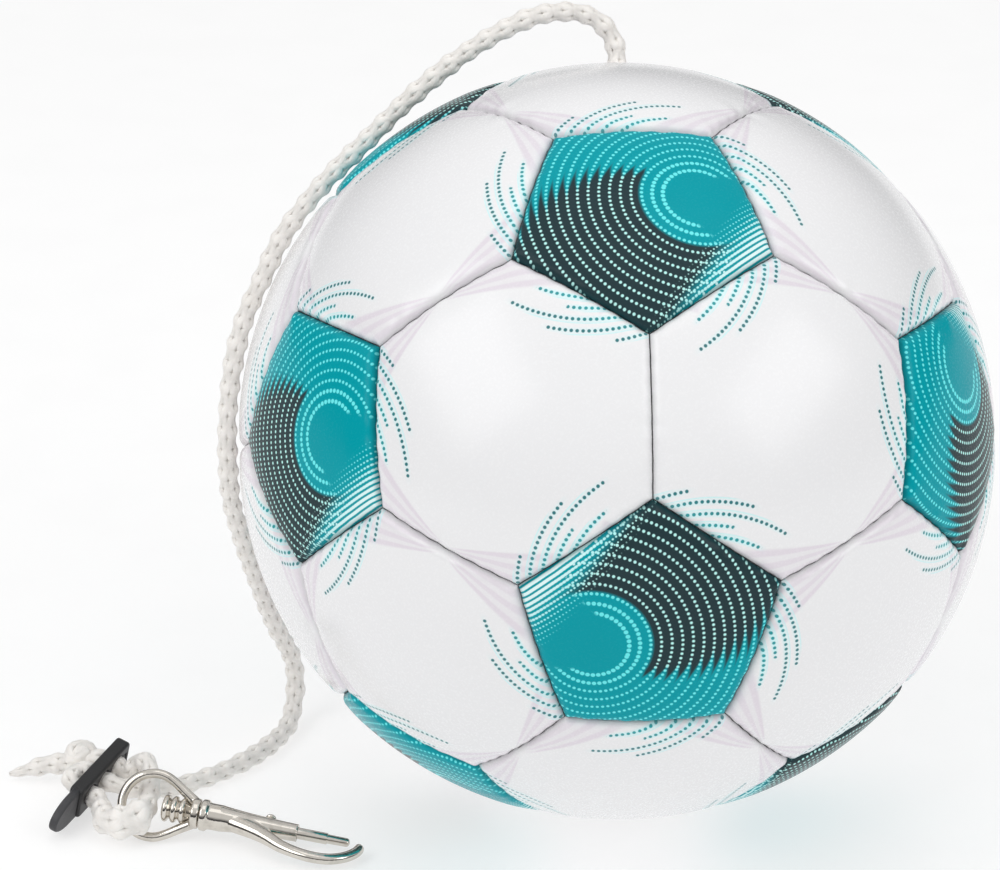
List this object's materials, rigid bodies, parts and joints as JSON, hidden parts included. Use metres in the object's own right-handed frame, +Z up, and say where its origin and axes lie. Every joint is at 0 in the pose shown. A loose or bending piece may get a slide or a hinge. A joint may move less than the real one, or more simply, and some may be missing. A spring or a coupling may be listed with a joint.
{
  "type": "rope training football",
  "caption": "Hand-stitched panelled ball on a braided rope with an adjustable rope slider, stopper knot and swivel snap hook, standing with its rope beside it.",
  "frame": {"origin": "the point of the ground under the middle of the ball, which stands on it", "axes": "+Z up; -Y towards the front of the ball, where one seam stands upright; -X towards the rope's free end"},
  "size_m": [0.2898, 0.2196, 0.2245],
  "materials": {
    "white_cover": "glossy coated cover, white with pale lilac-grey bands",
    "teal_cover": "glossy coated cover, teal with charcoal and aqua dot arcs",
    "latex": "matte",
    "valve_rubber": "matte",
    "felt": "felted",
    "rope": "braided",
    "black_plastic": "moulded",
    "nickel": "nickel plated, polished casting",
    "spring_steel": "drawn wire"
  },
  "bodies": {
    "ball_and_rope": {"pentagon_panel_01": "teal_cover", "pentagon_panel_02": "teal_cover", "pentagon_panel_03": "teal_cover", "pentagon_panel_04": "teal_cover", "pentagon_panel_05": "teal_cover", "pentagon_panel_06": "teal_cover", "pentagon_panel_07": "teal_cover", "pentagon_panel_08": "teal_cover", "pentagon_panel_09": "teal_cover", "pentagon_panel_10": "teal_cover", "pentagon_panel_11": "teal_cover", "pentagon_panel_12": "teal_cover", "hexagon_panel_01": "white_cover", "hexagon_panel_02": "white_cover", "hexagon_panel_03": "white_cover", "hexagon_panel_04": "white_cover", "hexagon_panel_05": "white_cover", "hexagon_panel_06": "white_cover", "hexagon_panel_07": "white_cover", "hexagon_panel_08": "white_cover", "hexagon_panel_09": "white_cover", "hexagon_panel_10": "white_cover", "hexagon_panel_11": "white_cover", "hexagon_panel_12": "white_cover", "hexagon_panel_13": "white_cover", "hexagon_panel_14": "white_cover", "hexagon_panel_15": "white_cover", "hexagon_panel_16": "white_cover", "hexagon_panel_17": "white_cover", "hexagon_panel_18": "white_cover", "hexagon_panel_19": "white_cover", "hexagon_panel_20": "white_cover", "bladder": "latex", "inflation_valve": "valve_rubber", "anchor_disc": "felt", "anchor_knot": "rope", "rope_main": "rope", "rope_bight": "rope", "rope_loop": "rope", "stopper_knot": "rope", "rope_tail": "rope", "rope_slider": "black_plastic"},
    "eye": {"swivel_eye": "nickel"},
    "hook": {"swivel_rivet": "nickel", "hook_body": "nickel", "bolt_spring": "spring_steel"},
    "bolt": {"spring_bolt": "nickel", "thumb_knob": "nickel"}
  },
  "joints": [
    {"name": "eye_swing", "type": "hinge", "parent": "ball_and_rope", "child": "eye", "pos_m": [-0.13892, -0.03265, 0.00985], "axis": [-0.2284, -0.9736, 0], "range_deg": [0, 75], "deforming": ["rope_loop"]},
    {"name": "swivel", "type": "hinge", "parent": "eye", "child": "hook", "pos_m": [-0.1366, -0.0332, 0.0096], "axis": [0.9681, -0.2271, -0.1059], "continuous": true},
    {"name": "bolt_slide", "type": "slide", "parent": "hook", "child": "bolt", "axis": [-0.9681, 0.2271, 0.1059], "range_m": [0, 0.008], "stiffness_N_per_m": 400, "springref_m": -0.006, "deforming": ["bolt_spring"]}
  ]
}
